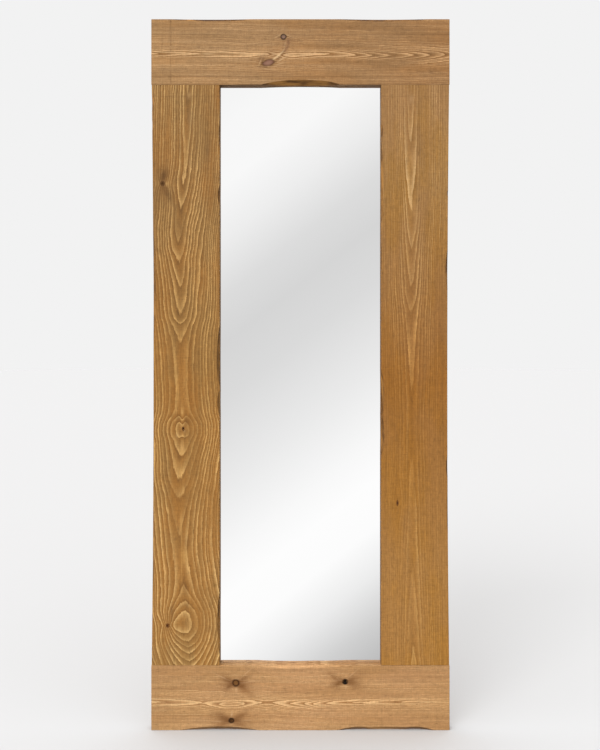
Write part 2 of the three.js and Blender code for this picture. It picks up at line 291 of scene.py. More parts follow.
pineBoards = {
    "top_rail": {
        "along": "X", "seed": 3.1, "narrow": 2.2, "pointed": 0.10, "sharp": 2.4, "flame": 1.5,
        "ground": "#96724a", "line": "#dab284", "warm": "#a07546", "deep": "#6c4b2b",
        "contrast": 0.84, "ringGap": 0.0050, "wobble": 0.0011, "teeth": 0.7,
        "pith": [(-0.374, -0.004), (-0.22, -0.005), (-0.06, -0.009), (0.06, -0.0055), (0.2, -0.008),
                 (0.374, -0.007)],
        "bumps": [(-0.060, -0.006, 0.016, 0.010, 1.3), (-0.040, 0.014, 0.010, 0.012, 0.9)],
        "tones": [(-0.37, "#fffdf6"), (0.0, "#f7f2ea"), (0.37, "#eee4d6")],
        "burn": (0.95, 0.90),
        "depth": [(-0.374, 4.6), (-0.22, 6.0), (-0.10, 6.4), (0.0, 6.5), (0.06, 7.0), (0.1325, 8.0),
                  (0.1775, 9.0), (0.2325, 10.0), (0.29, 11.0), (0.33, 12.0), (0.3625, 13.0), (0.374, 13.4)],
        "streaks": [(0.043, 0.0010, 0.42), (-0.061, 0.0009, 0.42), (0.020, 0.0008, 0.16)],
        "crossMarks": [(-0.325, 0.0016, 0.30), (-0.071, 0.0012, 0.14), (-0.345, 0.0010, 0.12),
                       (0.301, 0.0012, 0.14)],
        "knots": [
            {"at": (-0.0425, 0.038), "size": (0.0068, 0.0066), "reach": (0.026, 0.014),
             "push": 0.75, "rise": 0.6,
             "core": "#3d2a20", "heart": "#8f7260", "halo": 0.12, "haloLong": 0.03},
            {"at": (-0.080, -0.027), "size": (0.0145, 0.0078), "tilt": 14, "reach": (0.036, 0.016),
             "push": 0.7, "rise": 1.0,
             "core": "#7d5744", "heart": "#96705c", "halo": 0.15, "haloLong": 0.04},
        ],
        "marks": [
            (-0.070, -0.006, 0.030, 0.012, 0.30, "#7d5535", 28),
            (-0.036, 0.016, 0.014, 0.008, 0.26, "#7d5440", 80),
            (-0.098, -0.018, 0.010, 0.007, 0.45, "#5f3f24", 40),
            (-0.083, -0.046, 0.024, 0.006, 0.28, "#7a5232", -8),
            (-0.031, 0.024, 0.009, 0.0030, 0.55, "#6f4a38", 100),
            (-0.034, 0.010, 0.010, 0.0028, 0.50, "#75503a", 62),
            (-0.044, -0.001, 0.009, 0.0026, 0.60, "#6b4628", 48),
            (-0.039, 0.019, 0.007, 0.0014, 0.30, "#dbb88a", 82),
            (-0.043, 0.004, 0.006, 0.0014, 0.36, "#dbb88a", 55),
            (-0.054, -0.008, 0.011, 0.0020, 0.95, "#e2bf90", 40),
            (-0.066, -0.017, 0.012, 0.0018, 0.85, "#e2bf90", 36),
            (-0.053, -0.014, 0.010, 0.0014, 0.60, "#5f3e22", 38),
            (-0.062, -0.024, 0.010, 0.0014, 0.55, "#5f3e22", 30),
            (-0.048, -0.019, 0.011, 0.0016, 0.65, "#dcb88a", 30),
            (-0.052, -0.030, 0.012, 0.0015, 0.50, "#dcb88a", 12),
            (-0.096, -0.027, 0.010, 0.0014, 0.60, "#5a3b20", 65),
            (-0.101, -0.026, 0.011, 0.0014, 0.45, "#d9b485", 68),
            (-0.088, -0.039, 0.016, 0.0014, 0.50, "#5f3e22", -12),
            (-0.080, -0.043, 0.020, 0.0013, 0.40, "#d9b485", -4),
            (-0.072, -0.050, 0.018, 0.0013, 0.35, "#5f3e22", 6),
            (-0.056, 0.040, 0.010, 0.0013, 0.35, "#d9b485", 30),
            (-0.029, 0.040, 0.014, 0.0013, 0.35, "#d9b485", -22),
            (-0.030, 0.028, 0.022, 0.005, 0.22, "#7a5232"), (-0.232, -0.005, 0.020, 0.0022, 0.6, "#d7b181"),
            (0.3265, -0.050, 0.004, 0.0014, 0.5, "#5a3b20"),
        ],
    },
    "bottom_rail": {
        "along": "X", "seed": 7.7, "narrow": 2.6, "pointed": 0.08, "sharp": 2.6, "flame": 1.2,
        "ground": "#b08558", "line": "#e4bc8c", "warm": "#b5895f", "deep": "#8c6036",
        "contrast": 0.86, "ringGap": 0.0052, "wobble": 0.0015, "teeth": 0.75,
        "pith": [(-0.374, -0.012), (-0.25, -0.014), (-0.17, -0.017), (-0.10, -0.013), (0.01, -0.0155),
                 (0.10, -0.0125), (0.20, -0.012), (0.374, -0.010)],
        "bumps": [(0.160, -0.009, 0.050, 0.004, 0.6)],
        "tones": [(-0.37, "#f6f2e6"), (0.0, "#fffaf2"), (0.37, "#f6f0e2")],
        "burn": (0.0, 0.72),
        "depth": [(-0.374, 9.6), (-0.255, 11.0), (-0.245, 11.2), (-0.235, 11.0), (-0.2075, 10.0),
                  (-0.171, 9.3), (-0.1345, 10.0), (-0.1025, 11.0), (-0.08, 11.3), (-0.061, 11.0),
                  (-0.0265, 10.0), (0.01, 9.0), (0.0325, 8.0), (0.0625, 7.0), (0.10, 6.0),
                  (0.248, 5.0), (0.374, 4.6)],
        "streaks": [(0.070, 0.0009, 0.25), (0.052, 0.0008, 0.12)],
        "crossMarks": [(-0.356, 0.0012, 0.14), (-0.318, 0.0012, 0.10), (-0.300, 0.0010, 0.10),
                       (0.203, 0.0010, 0.10)],
        "knots": [
            {"at": (-0.1615, 0.037), "size": (0.0088, 0.0086), "reach": (0.030, 0.020),
             "push": 0.75, "rise": 0.5,
             "core": "#3c200a", "heart": "#80562c", "halo": 0.95, "haloLong": 0.032},
            {"at": (-0.1725, -0.0565), "size": (0.0072, 0.0064), "reach": (0.030, 0.015),
             "push": 0.75, "rise": 0.4,
             "core": "#2e1a08", "heart": "#523213", "halo": 0.95, "haloLong": 0.034},
            {"at": (0.112, 0.0405), "size": (0.0068, 0.0066), "reach": (0.030, 0.018),
             "push": 0.75, "rise": 0.5,
             "core": "#130c06", "heart": "#1d140c", "halo": 0.95, "haloLong": 0.032},
        ],
        "marks": [
            (-0.138, 0.019, 0.024, 0.011, 0.56, "#96683c", -38),
            (-0.146, 0.029, 0.012, 0.007, 0.50, "#7c4e24", -30),
            (-0.181, 0.044, 0.018, 0.006, 0.55, "#6f4522", -28),
            (-0.178, 0.028, 0.014, 0.005, 0.50, "#6f4522", 30),
            (-0.140, 0.050, 0.018, 0.006, 0.35, "#855a32", 34),
            (-0.196, 0.052, 0.022, 0.0013, 0.40, "#dcb285", -24),
            (-0.135, 0.062, 0.018, 0.0013, 0.40, "#dcb285", 42),
            (-0.128, 0.040, 0.022, 0.0013, 0.35, "#dcb285", 8),
            (-0.160, 0.020, 0.0022, 0.009, 0.40, "#d8ae80"),
            (-0.190, 0.040, 0.010, 0.0012, 0.35, "#d8ae80"),
            (-0.193, -0.047, 0.022, 0.007, 0.55, "#7a4f2c", -24),
            (-0.148, -0.044, 0.022, 0.007, 0.48, "#85582f", 28),
            (-0.196, -0.066, 0.020, 0.005, 0.40, "#85582f", 18),
            (-0.150, -0.068, 0.016, 0.004, 0.30, "#85582f", -20),
            (-0.172, -0.040, 0.002, 0.006, 0.40, "#e0b98c"),
            (-0.205, -0.058, 0.012, 0.0012, 0.40, "#dcb285"),
            (-0.135, -0.056, 0.014, 0.0012, 0.40, "#dcb285"),
            (0.092, 0.034, 0.014, 0.005, 0.60, "#74491f", 26),
            (0.138, 0.033, 0.022, 0.008, 0.46, "#94683f", -16),
            (0.082, 0.054, 0.016, 0.005, 0.50, "#7a4f28", -42),
            (0.134, 0.048, 0.018, 0.005, 0.34, "#855a32", 20),
            (0.128, 0.058, 0.018, 0.0013, 0.35, "#dcb285", 40),
            (0.113, 0.026, 0.0020, 0.007, 0.35, "#d9ae80"), (0.088, 0.044, 0.010, 0.0012, 0.35, "#d9ae80"),
            (0.150, -0.013, 0.003, 0.0012, 0.55, "#7a4c22"),
            (0.120, -0.021, 0.006, 0.0012, 0.45, "#7a4c22"),
            (0.262, -0.021, 0.004, 0.0012, 0.55, "#7a4c22"),
            (0.290, -0.017, 0.002, 0.0012, 0.55, "#7a4c22"),
            (0.103, 0.0785, 0.006, 0.0014, 0.45, "#7a4a20"),
            (0.124, 0.0785, 0.005, 0.0014, 0.45, "#7a4a20"),
            (0.020, 0.0740, 0.012, 0.0014, 0.30, "#8a5a2e"), (0.0, 0.068, 0.012, 0.0012, 0.28, "#8a5a2e"),
        ],
    },
    "left_stile": {
        "along": "Z", "seed": 1.3, "narrow": 0.90, "pointed": 0.10, "sharp": 3.2, "flame": -0.15,
        "ground": "#967346", "line": "#e2bd86", "warm": "#9f733e", "deep": "#694a2b",
        "contrast": 0.80, "ringGap": 0.0056, "wobble": 0.0020, "teeth": 0.5,
        "pith": [(-0.726, 0.008), (-0.66, 0.006), (-0.61, 0.003), (-0.50, -0.008), (-0.378, -0.018),
                 (-0.26, -0.016),
                 (-0.13, -0.008), (0.069, -0.0125), (0.224, -0.013), (0.32, -0.017), (0.417, -0.009),
                 (0.526, -0.001), (0.726, 0.006)],
        "bumps": [(-0.106, -0.008, 0.026, 0.0060, 0.9), (-0.162, -0.008, 0.018, 0.005, 0.5),
                  (0.30, 0.050, 0.16, 0.020, -1.2)],
        "tones": [(-0.73, "#fff6e0"), (-0.476, "#fff5de"), (-0.008, "#f7e8c4"), (0.468, "#ede2cb"),
                  (0.73, "#eee5d1")],
        "burn": (0.85, 0.80),
        "depth": [(-0.726, 15.5), (-0.715, 15.0), (-0.696, 14.0), (-0.676, 13.0), (-0.655, 12.0),
                  (-0.612, 11.05), (-0.572, 12.0), (-0.536, 13.0), (-0.468, 13.4), (-0.378, 13.0),
                  (-0.301, 12.0),
                  (-0.261, 11.0), (-0.208, 10.0), (-0.165, 9.0), (-0.134, 8.2), (-0.110, 9.0),
                  (-0.088, 10.0), (-0.008, 10.3), (0.069, 10.0), (0.123, 9.0), (0.149, 8.0),
                  (0.224, 7.0), (0.292, 6.0), (0.330, 5.0), (0.417, 4.0), (0.526, 3.0), (0.726, 1.8)],
        "streaks": [],
        "crossMarks": [(0.697, 0.0018, 0.22)],
        "knots": [
            {"at": (0.479, -0.0575), "size": (0.0058, 0.0050), "reach": (0.030, 0.016),
             "push": 0.5, "rise": 0.0,
             "core": "#6e4a26", "heart": "#180d05", "halo": 0.55, "haloLong": 0.040, "fan": (-1.7, 0.042)},
            {"at": (-0.134, -0.006), "size": (0.0046, 0.0030), "reach": (0.030, 0.018),
             "push": 0.15, "rise": 0.0,
             "core": "#6b4020", "heart": "#2a150a", "halo": 0.30, "haloLong": 0.018},
            {"at": (-0.626, -0.045), "size": (0.0048, 0.0042), "reach": (0.020, 0.014),
             "push": 0.3, "rise": 0.0,
             "core": "#7a4c24", "heart": "#4a2812", "halo": 0.35, "haloLong": 0.02, "fan": (-2.2, 0.045)},
        ],
        "marks": [
            (0.452, -0.043, 0.028, 0.008, 0.50, "#5c4020", -28),
            (0.500, -0.053, 0.014, 0.009, 0.62, "#503818", 20),
            (0.478, -0.047, 0.006, 0.005, 0.45, "#c79c60"),
            (-0.113, 0.004, 0.010, 0.008, 0.50, "#61401d"), (-0.108, -0.018, 0.008, 0.006, 0.36, "#61401d"),
            (-0.150, -0.020, 0.006, 0.004, 0.5, "#cfa76c"), (-0.140, -0.003, 0.005, 0.003, 0.4, "#d4ad74"),
            (-0.183, -0.009, 0.010, 0.004, 0.45, "#cfa264"),
            (-0.240, -0.013, 0.018, 0.006, 0.42, "#c99a58"),
            (-0.365, -0.011, 0.016, 0.003, 0.50, "#c99a58"),
            (-0.400, -0.0105, 0.030, 0.0018, 0.45, "#c99a58"),
            (-0.452, 0.000, 0.020, 0.010, 0.46, "#c1924f"),
            (-0.480, -0.010, 0.060, 0.0014, 0.35, "#c99a58"),
            (-0.422, 0.003, 0.014, 0.009, 0.35, "#7a4f25"), (-0.530, 0.0, 0.016, 0.012, 0.30, "#664420"),
            (-0.526, 0.073, 0.004, 0.004, 0.5, "#5d451a"), (-0.590, -0.034, 0.014, 0.005, 0.45, "#6b4a2a"),
            (-0.635, -0.015, 0.007, 0.005, 0.45, "#c7a064"), (-0.575, 0.002, 0.012, 0.010, 0.35, "#6a4723"),
            (0.700, 0.010, 0.008, 0.006, 0.40, "#c9a06a"), (0.690, 0.013, 0.014, 0.005, 0.25, "#62431f"),
            (0.640, 0.012, 0.020, 0.009, 0.28, "#8f7350"), (0.560, 0.058, 0.030, 0.010, 0.24, "#6a4a2c"),
            (0.530, 0.010, 0.020, 0.002, 0.40, "#c9a06a"),
        ],
    },
    "right_stile": {
        "along": "Z", "seed": 5.9, "narrow": 1.3, "pointed": 0.05, "sharp": 2.6, "flame": 0.9,
        "faint": (-0.12, 0.35, 0.30),
        "ground": "#a3794b", "line": "#dcb37f", "warm": "#a5783d", "deep": "#7d592d",
        "contrast": 0.62, "ringGap": 0.0052, "wobble": 0.0011, "teeth": 0.5,
        "pith": [(-0.726, -0.004), (-0.2, -0.008), (0.15, -0.009), (0.32, -0.0085), (0.40, -0.007),
                 (0.53, -0.0105), (0.726, -0.011)],
        "bumps": [(0.45, -0.003, 0.05, 0.006, 0.3)],
        "tones": [(-0.73, "#fff4d0"), (-0.476, "#fff5d3"), (-0.008, "#e6cf9f"), (0.468, "#eeebdf"),
                  (0.73, "#f3f0ea")],
        "burn": (0.80, 0.78),
        "depth": [(-0.726, 8.6), (-0.60, 9.4), (-0.30, 10.6), (-0.12, 11.2), (-0.025, 11.0), (0.149, 10.0),
                  (0.212, 9.0), (0.317, 8.0), (0.401, 7.0), (0.526, 6.0), (0.689, 5.0), (0.726, 4.8)],
        "streaks": [(0.010, 0.0011, 0.18), (0.068, 0.0010, 0.25), (0.051, 0.0008, 0.12)],
        "crossMarks": [(0.697, 0.0016, 0.16)],
        "knots": [
            {"at": (-0.320, -0.0445), "size": (0.0070, 0.0028), "reach": (0.050, 0.016),
             "push": 0.8, "rise": 0.5,
             "core": "#7a4d24", "heart": "#4a2a14", "halo": 0.2, "haloLong": 0.03},
        ],
        "marks": [
            (0.545, -0.008, 0.016, 0.006, 0.35, "#c39862"), (0.422, -0.008, 0.022, 0.007, 0.42, "#c0935a"),
            (0.330, -0.007, 0.010, 0.004, 0.30, "#c0935a"), (0.690, -0.010, 0.012, 0.004, 0.40, "#c6a073"),
            (0.600, -0.004, 0.030, 0.008, 0.22, "#6e4f2c"), (0.560, 0.010, 0.030, 0.006, 0.18, "#61431f"),
            (0.480, -0.006, 0.025, 0.006, 0.24, "#735029"), (0.545, 0.018, 0.040, 0.008, 0.16, "#61431f"),
        ],
    },
}

# the dark shave colour also serves as painted shade on the boards' side and under faces, and sides sets how
# strong that painted shade is
pineLook = {
    "stainAndPaintedShade": "#54361a", "shavedWarm": "#b07d40", "knotRim": "#3a1f0a", "haloBrown": "#663a12",
    "fleck": "#553818", "streak": "#5a3d20", "sides": 0.45, "rough": 0.56, "bump": 0.45 * mm,
}


def softSpot(pine, along, across, where, tilt=0.0):
    # a soft oval, 1 at its middle: where it is along and across, half its length and half its width
    long, wide = along - where[0], across - where[1]
    if tilt:
        cosine, sine = math.cos(math.radians(tilt)), math.sin(math.radians(tilt))
        long, wide = long * cosine + wide * sine, wide * cosine - long * sine
    long = long / where[2]
    wide = wide / where[3]
    return pine.maths("EXPONENT", -(long * long + wide * wide))


def addKnots(pine, along, across, settings):
    # returns the pushed across value, the rings' rise and the masks that colour the knots
    pushed, rise, masks = across, 0.0, []
    for knot in settings["knots"]:
        near = softSpot(pine, along, across, (*knot["at"], *knot["reach"]))
        alongFrom = along - knot["at"][0]
        acrossFrom = across - knot["at"][1]
        pushed = pushed - acrossFrom * near * knot["push"]
        rise = rise + near * knot["rise"]
        if "fan" in knot:  # rings that meet at the knot from one side
            away = pine.maths("SQRT", alongFrom * alongFrom + acrossFrom * acrossFrom) + 0.5 * mm
            close = away / knot["fan"][1]
            rise = rise + acrossFrom / away * pine.maths("EXPONENT", -(close * close)) * knot["fan"][0]
        tilt = math.radians(knot.get("tilt", 0.0))
        ringLong = (alongFrom * math.cos(tilt) + acrossFrom * math.sin(tilt)) / knot["size"][0]
        ringWide = (acrossFrom * math.cos(tilt) - alongFrom * math.sin(tilt)) / knot["size"][1]
        ring = pine.maths("SQRT", ringLong * ringLong + ringWide * ringWide)
        wedge = acrossFrom / (pine.maths("ABSOLUTE", alongFrom) * 0.5 + knot["size"][1])
        farLong = alongFrom / knot["haloLong"]
        halo = pine.maths("EXPONENT", -(wedge * wedge + farLong * farLong)) * knot["halo"]
        masks.append((knot, ring, halo))
    return pushed, rise, masks


def paintKnots(pine, colour, masks, ragged):
    # knots as dark ringed discs in a brown halo; also returns how far the surface sinks
    sink = 0.0
    for knot, ring, halo in masks:
        reach = ring + ragged
        inside = pine.step(reach, 0.86, 1.12, 1.0, 0.0)
        circles = pine.step(pine.maths("SINE", reach * 9.0), -0.4, 0.9)
        spread = pine.step(reach, 0.2, 0.75) * (0.6 + circles * 0.4)
        knotColour = pine.mix(spread, tint(knot["heart"]), tint(knot["core"]))
        rim = pine.step(reach, 0.75, 1.0) * pine.step(reach, 1.02, 1.4, 1.0, 0.0)
        colour = pine.mix(halo * (1 - inside) * 0.72, colour, tint(pineLook["haloBrown"]))
        colour = pine.mix(inside, colour, knotColour)
        colour = pine.mix(rim * 0.5, colour, tint(pineLook["knotRim"]))
        sink = sink + inside * 0.4
    return colour, sink


def pineFinish(name, settings):
    pine = Finish("pine_" + name)
    low, high = (Vector(c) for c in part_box(name))
    middle = (low + high) / 2
    place = pine.place()
    x, y, z = pine.split(place)
    lengthways = settings["along"] == "X"
    along, across = (x - middle.x, z - middle.z) if lengthways else (z - middle.z, x - middle.x)
    seeded = pine.shift(place, (settings["seed"], settings["seed"] * 2, settings["seed"] * 3))

    def grain(alongScale, acrossScale, detail=2.0, rough=0.5):  # noise drawn out along the grain
        sizes = (acrossScale, acrossScale, alongScale)
        if lengthways:
            sizes = (alongScale, acrossScale, acrossScale)
        return pine.noise(pine.stretch(seeded, sizes), 1.0, detail, rough)

    waver = grain(2.6, 11, 3.0) - 0.5
    ripple = grain(22, 60, 2.0) - 0.5
    feather = grain(45, 300, 3.0, 0.7) - 0.5
    fibre = grain(24, 700, 3.0, 0.65)
    streaky = grain(5, 190, 3.0, 0.6)
    cloud = grain(5, 16, 3.0, 0.55)
    mottle = grain(55, 110, 3.0, 0.6)
    speckle = grain(75, 330, 3.0, 0.7)
    ribs = grain(330, 50, 2.0, 0.6)

    pushed, rise, knotMasks = addKnots(pine, along, across, settings)
    for bump in settings["bumps"]:
        rise = rise + softSpot(pine, along, across, bump) * bump[4]
    half = 0.75  # curves along the board run over this much either side of its middle

    def curve(points, least, most):
        spread = [((a + half) / (2 * half), (value - least) / (most - least)) for a, value in points]
        made = pine.node("ShaderNodeFloatCurve", {"points": spread}, {"Value": (along + half) / (2 * half)})
        return made * (most - least) + least

    wander = waver * (settings["wobble"] * 8) + ripple * (settings["wobble"] * 2.6)
    offPith = (pushed - curve(settings["pith"], -0.03, 0.03) + wander) * settings["narrow"]
    toPith = curve(settings["depth"], 0.0, 20.0) * settings["ringGap"] + (y - low.y)
    fromPith = pine.maths("SQRT", offPith * offPith + toPith * toPith)
    fromPith = fromPith + pine.maths("ABSOLUTE", offPith) * settings["pointed"]
    spacing = pine.node("ShaderNodeTexNoise", {"noise_dimensions": "1D"},
                        {"W": fromPith * 60 + settings["seed"], "Scale": 1.0, "Detail": 1.0}) - 0.5
    rings = fromPith / settings["ringGap"] + rise + feather * settings["teeth"] + waver * 0.5 + spacing * 1.3

    saw = pine.maths("FRACT", rings)
    ringLook = pine.node("ShaderNodeTexWhiteNoise", {"noise_dimensions": "1D"},
                         {"W": pine.maths("FLOOR", rings)}, output="Value")
    fade = pine.step(grain(3.2, 34, 2.0), 0.34, 0.62, 0.35, 1.1)
    crisp = pine.step(saw, 0.88, 1.0, 1.0, 0.0)
    pale = (saw ** settings["sharp"]) * crisp * (0.45 + ringLook * 0.95) * fade
    flame = pine.step(pine.maths("ABSOLUTE", offPith) / toPith, 0.25, 0.9, 1.0, 0.0)
    pale = pale * (flame * settings["flame"] + 1.0)
    if "faint" in settings:  # rings grow fainter towards one end
        pale = pale * pine.step(along, *settings["faint"])
    darkEdge = pine.step(saw, 0.0, 0.26, 1.0, 0.0) * fade

    colour = pine.mix(pine.step(cloud, 0.35, 0.66), tint(settings["ground"]), tint(settings["warm"]))
    colour = pine.mix(pale * settings["contrast"] * 1.5, colour, tint(settings["line"]))
    colour = pine.mix(darkEdge * settings["contrast"] * 0.52, colour, tint(settings["deep"]))
    shade = -0.17 + fibre * 0.50 + streaky * 0.40 + mottle * 0.42 + speckle * 0.60 + ribs * 0.42
    shadeColour = pine.node("ShaderNodeCombineColor", {}, {0: shade, 1: shade, 2: shade})
    colour = pine.mix(1.0, colour, shadeColour, "MULTIPLY")
    tones = [((a + half) / (2 * half), tint(code)[:3]) for a, code in settings["tones"]]
    tone = pine.node("ShaderNodeValToRGB", {"stops": tones}, {"Fac": (along + half) / (2 * half)})
    colour = pine.mix(1.0, colour, tone, "MULTIPLY")
    fleck = pine.step(grain(60, 330, 2.0), 0.62, 0.74)
    colour = pine.mix(fleck * 0.38, colour, tint(pineLook["fleck"]))

    for where, width, dark in settings["streaks"]:
        off = (across + waver * 0.004 - where) / width
        line = pine.maths("EXPONENT", -(off * off)) * pine.step(cloud, 0.25, 0.6, 0.45, 1.0)
        colour = pine.mix(line * dark, colour, tint(pineLook["streak"]))
    for where, width, dark in settings["crossMarks"]:
        off = (along + ripple * 0.003 - where) / width
        line = pine.maths("EXPONENT", -(off * off)) * pine.step(streaky, 0.3, 0.6)
        colour = pine.mix(line * dark, colour, tint(pineLook["streak"]))
    broken = pine.step(feather + 0.5, 0.25, 0.65, 0.55, 1.15)
    for mark in settings["marks"]:
        tilt = mark[6] if len(mark) > 6 else 0.0
        spot = softSpot(pine, along + ripple * 0.006, across + ripple * 0.004, mark, tilt)
        colour = pine.mix(spot * broken * mark[4], colour, tint(mark[5]))
    colour, sink = paintKnots(pine, colour, knotMasks, feather * 0.5 + ripple * 0.5)

    facing = pine.split(pine.node("ShaderNodeNewGeometry", output="Normal"))
    straight = [pine.maths("ABSOLUTE", part) for part in facing]
    squareOn = pine.maths("MAXIMUM", straight[0], pine.maths("MAXIMUM", straight[1], straight[2]))
    shaved = pine.step(squareOn, 0.80, 0.95, 1.0, 0.0) * pine.step(facing[1], -0.2, 0.0, 1.0, 0.0)
    upward = pine.step(facing[2], 0.2, 0.5)
    burn = shaved * (upward * settings["burn"][0] + (1 - upward) * settings["burn"][1])
    worn = pine.step(grain(13, 60, 3.0, 0.6), 0.40, 0.66)
    burnt = pine.mix(worn, tint(pineLook["stainAndPaintedShade"]), tint(pineLook["shavedWarm"]))
    colour = pine.mix(burn, colour, burnt)

    # painted shade: faces that look sideways or down are darkened and faces that look up are left out; only
    # partly this stands for darker end grain
    paintedSideShade = pine.step(straight[1], 0.3, 0.6, 1.0, 0.0) * (1 - upward)
    colour = pine.mix(paintedSideShade * pineLook["sides"], colour, tint(pineLook["stainAndPaintedShade"]))

    height = pale * 0.6 + fibre * 0.4 + mottle * 0.2 - sink
    rough = pineLook["rough"] - pale * 0.08 + fibre * 0.14 + sink * 0.6
    return pine.surface(
        Base_Color=colour,
        Roughness=rough,
        Specular_IOR_Level=0.14,
        Normal=pine.bump(height, 0.4, pineLook["bump"]),
    )


# the four boards, from the frame's own solids

arris = {"front": 1.3 * mm, "turns": 3, "shaveSegment": 0.010, "cutter": 0.09}

# each shave: its middle along the edge, its length, and how far it comes down the face
shaves = {
    "top_rail": {
        "outer": [(-0.2225, 0.225, 0.0058), (0.209, 0.235, 0.0062)],
        "inner": [(0.000, 0.200, 0.0125), (0.045, 0.110, 0.0105)],
    },
    "bottom_rail": {
        "outer": [(-0.2025, 0.205, 0.0100), (0.150, 0.115, 0.0095), (0.212, 0.260, 0.0090),
                  (0.285, 0.100, 0.0095)],
        "inner": [(-0.020, 0.190, 0.0075), (0.060, 0.120, 0.0055)],
    },
    "left_stile": {
        "outer": [(1.569, 0.052, 0.0060), (1.514, 0.032, 0.0045), (1.108, 0.290, 0.0055),
                  (0.420, 0.120, 0.0030)],
        "inner": [(1.492, 0.070, 0.0030), (1.337, 0.055, 0.0050), (0.925, 0.190, 0.0070),
                  (0.820, 0.070, 0.0065),
                  (0.268, 0.165, 0.0060)],
    },
    "right_stile": {
        "outer": [(1.342, 0.020, 0.0040), (1.150, 0.110, 0.0055), (0.660, 0.060, 0.0045),
                  (0.560, 0.150, 0.0025)],
        "inner": [(1.500, 0.040, 0.0050), (1.362, 0.230, 0.0055), (0.838, 0.130, 0.0080),
                  (0.740, 0.110, 0.0080)],
    },
}

# knots that have dried and sunk: across the face and up, half width and half height, how deep (mm)
sunkKnots = {
    "top_rail": [(-0.0425, 1.734, 2.4, 2.4, 0.8)],
    "bottom_rail": [(0.112, 0.1215, 5.6, 5.2, 3.5), (-0.1725, 0.0245, 4.2, 3.8, 1.6),
                    (-0.1600, 0.1175, 3.4, 3.2, 1.0)],
    "left_stile": [(-0.2930, 0.754, 2.2, 3.2, 2.6), (-0.332, 0.262, 3.4, 1.5, 1.6),
                   (-0.3445, 1.367, 1.8, 1.8, 1.2)],
    "right_stile": [],
}


def edgeAt(piece, height, outward, frontY):  # x of a stile's front edge at a height
    middle = sum(v.co.x for v in piece.data.vertices) / len(piece.data.vertices)
    rim = sorted(
        (v.co.z, v.co.x) for v in piece.data.vertices
        if abs(v.co.y - frontY) < 1e-5 and (v.co.x - middle) * outward > 0
    )
    below = [p for p in rim if p[0] <= height][-1]
    above = [p for p in rim if p[0] >= height][0]
    if above[0] - below[0] < 1e-6:
        return below[1]
    share = (height - below[0]) / (above[0] - below[0])
    return below[1] + share * (above[1] - below[1])


def shaveEdge(piece, arrisPoint, run, facet, length, drop):
    sag = drop * math.sqrt(0.5)
    radius = (length * length / 4 + sag * sag) / (2 * sag)
    sides = min(1400, max(64, int(math.tau * radius / arris["shaveSegment"])))
    axis = run.cross(facet).normalized()
    turn = axis.to_track_quat("Z", "Y").to_euler()
    deselectAll()
    bpy.ops.mesh.primitive_cylinder_add(
        vertices=sides, radius=radius, depth=arris["cutter"],
        location=arrisPoint + facet * (radius - sag), rotation=turn,
    )
    cutAway(piece, nameIt("shave"))


def sinkKnot(piece, x, z, wide, tall, deep, frontY):
    deselectAll()
    bpy.ops.mesh.primitive_uv_sphere_add(
        segments=28, ring_count=16, radius=1.0, location=(x, frontY, z), rotation=(math.pi / 2, 0, 0),
        scale=(wide * mm, tall * mm, deep * mm),
    )
    cutAway(piece, nameIt("sink"))


def easeEdges(piece):
    # rounds the board's edges
    mesh = piece.data
    sides = {}
    for face in mesh.polygons:
        for key in face.edge_keys:
            sides.setdefault(key, []).append(face)
    makeActive(piece)
    for face in mesh.polygons:
        face.select = False
    for vert in mesh.vertices:
        vert.select = False
    for edge in mesh.edges:
        first, last = (mesh.vertices[i].co for i in edge.vertices)
        faces = sides.get(edge.key, [])
        edge.select = False
        if len(faces) == 2 and (first - last).length > 0.012:
            sharp = faces[0].normal.angle(faces[1].normal) > 1.0
            edge.select = sharp and (faces[1].center - faces[0].center).dot(faces[0].normal) < 0
    bpy.ops.object.mode_set(mode="EDIT")
    bpy.ops.mesh.select_mode(type="EDGE")
    bpy.ops.mesh.bevel(offset=arris["front"], segments=arris["turns"], profile=0.6, affect="EDGES",
                       clamp_overlap=True)
    doneEditing()


def makeBoard(name):
    piece = bpy.data.objects.new(name + "_board", nodes[name].data.copy())
    bpy.context.collection.objects.link(piece)
    piece.data.name = piece.name
    low, high = (Vector(c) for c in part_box(name))
    editing(piece, "ALL")
    bpy.ops.mesh.remove_doubles(threshold=1e-6)
    bpy.ops.mesh.dissolve_limited(angle_limit=math.radians(0.05))
    doneEditing()
    rail = pineBoards[name]["along"] == "X"
    cuts = []
    for side, places in shaves[name].items():
        for along, length, drop in places:
            if rail:
                top = (name == "top_rail") == (side == "outer")
                arrisPoint = Vector((along, low.y, high.z if top else low.z))
                run, facet = Vector((1, 0, 0)), Vector((0, -1, 1 if top else -1))
            else:
                outward = (1 if middleOf(name).x > 0 else -1) * (1 if side == "outer" else -1)
                arrisPoint = Vector((edgeAt(piece, along, outward, low.y), low.y, along))
                run, facet = Vector((0, 0, 1)), Vector((outward, -1, 0))
            cuts.append((arrisPoint, run, facet.normalized(), length, drop))
    easeEdges(piece)
    for cut in cuts:
        shaveEdge(piece, *cut)
    for knot in sunkKnots[name]:
        sinkKnot(piece, *knot, low.y)
    smooth(piece, 15)
    paint(piece, pineFinish(name, pineBoards[name]))
    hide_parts(name)
    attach(piece, "frame")
    print("board:", name, len(piece.data.polygons), "faces")


for boardName in pineBoards:
    makeBoard(boardName)


# the glass: silvered front, green edge, grey painted back

glassSettings = {"edge": 0.6 * mm, "reflects": 0.93, "edgeTint": "#6f9a8b", "edgePale": "#94b8aa",
                 "backPaint": "#6a6f72", "backPale": "#7b8083"}


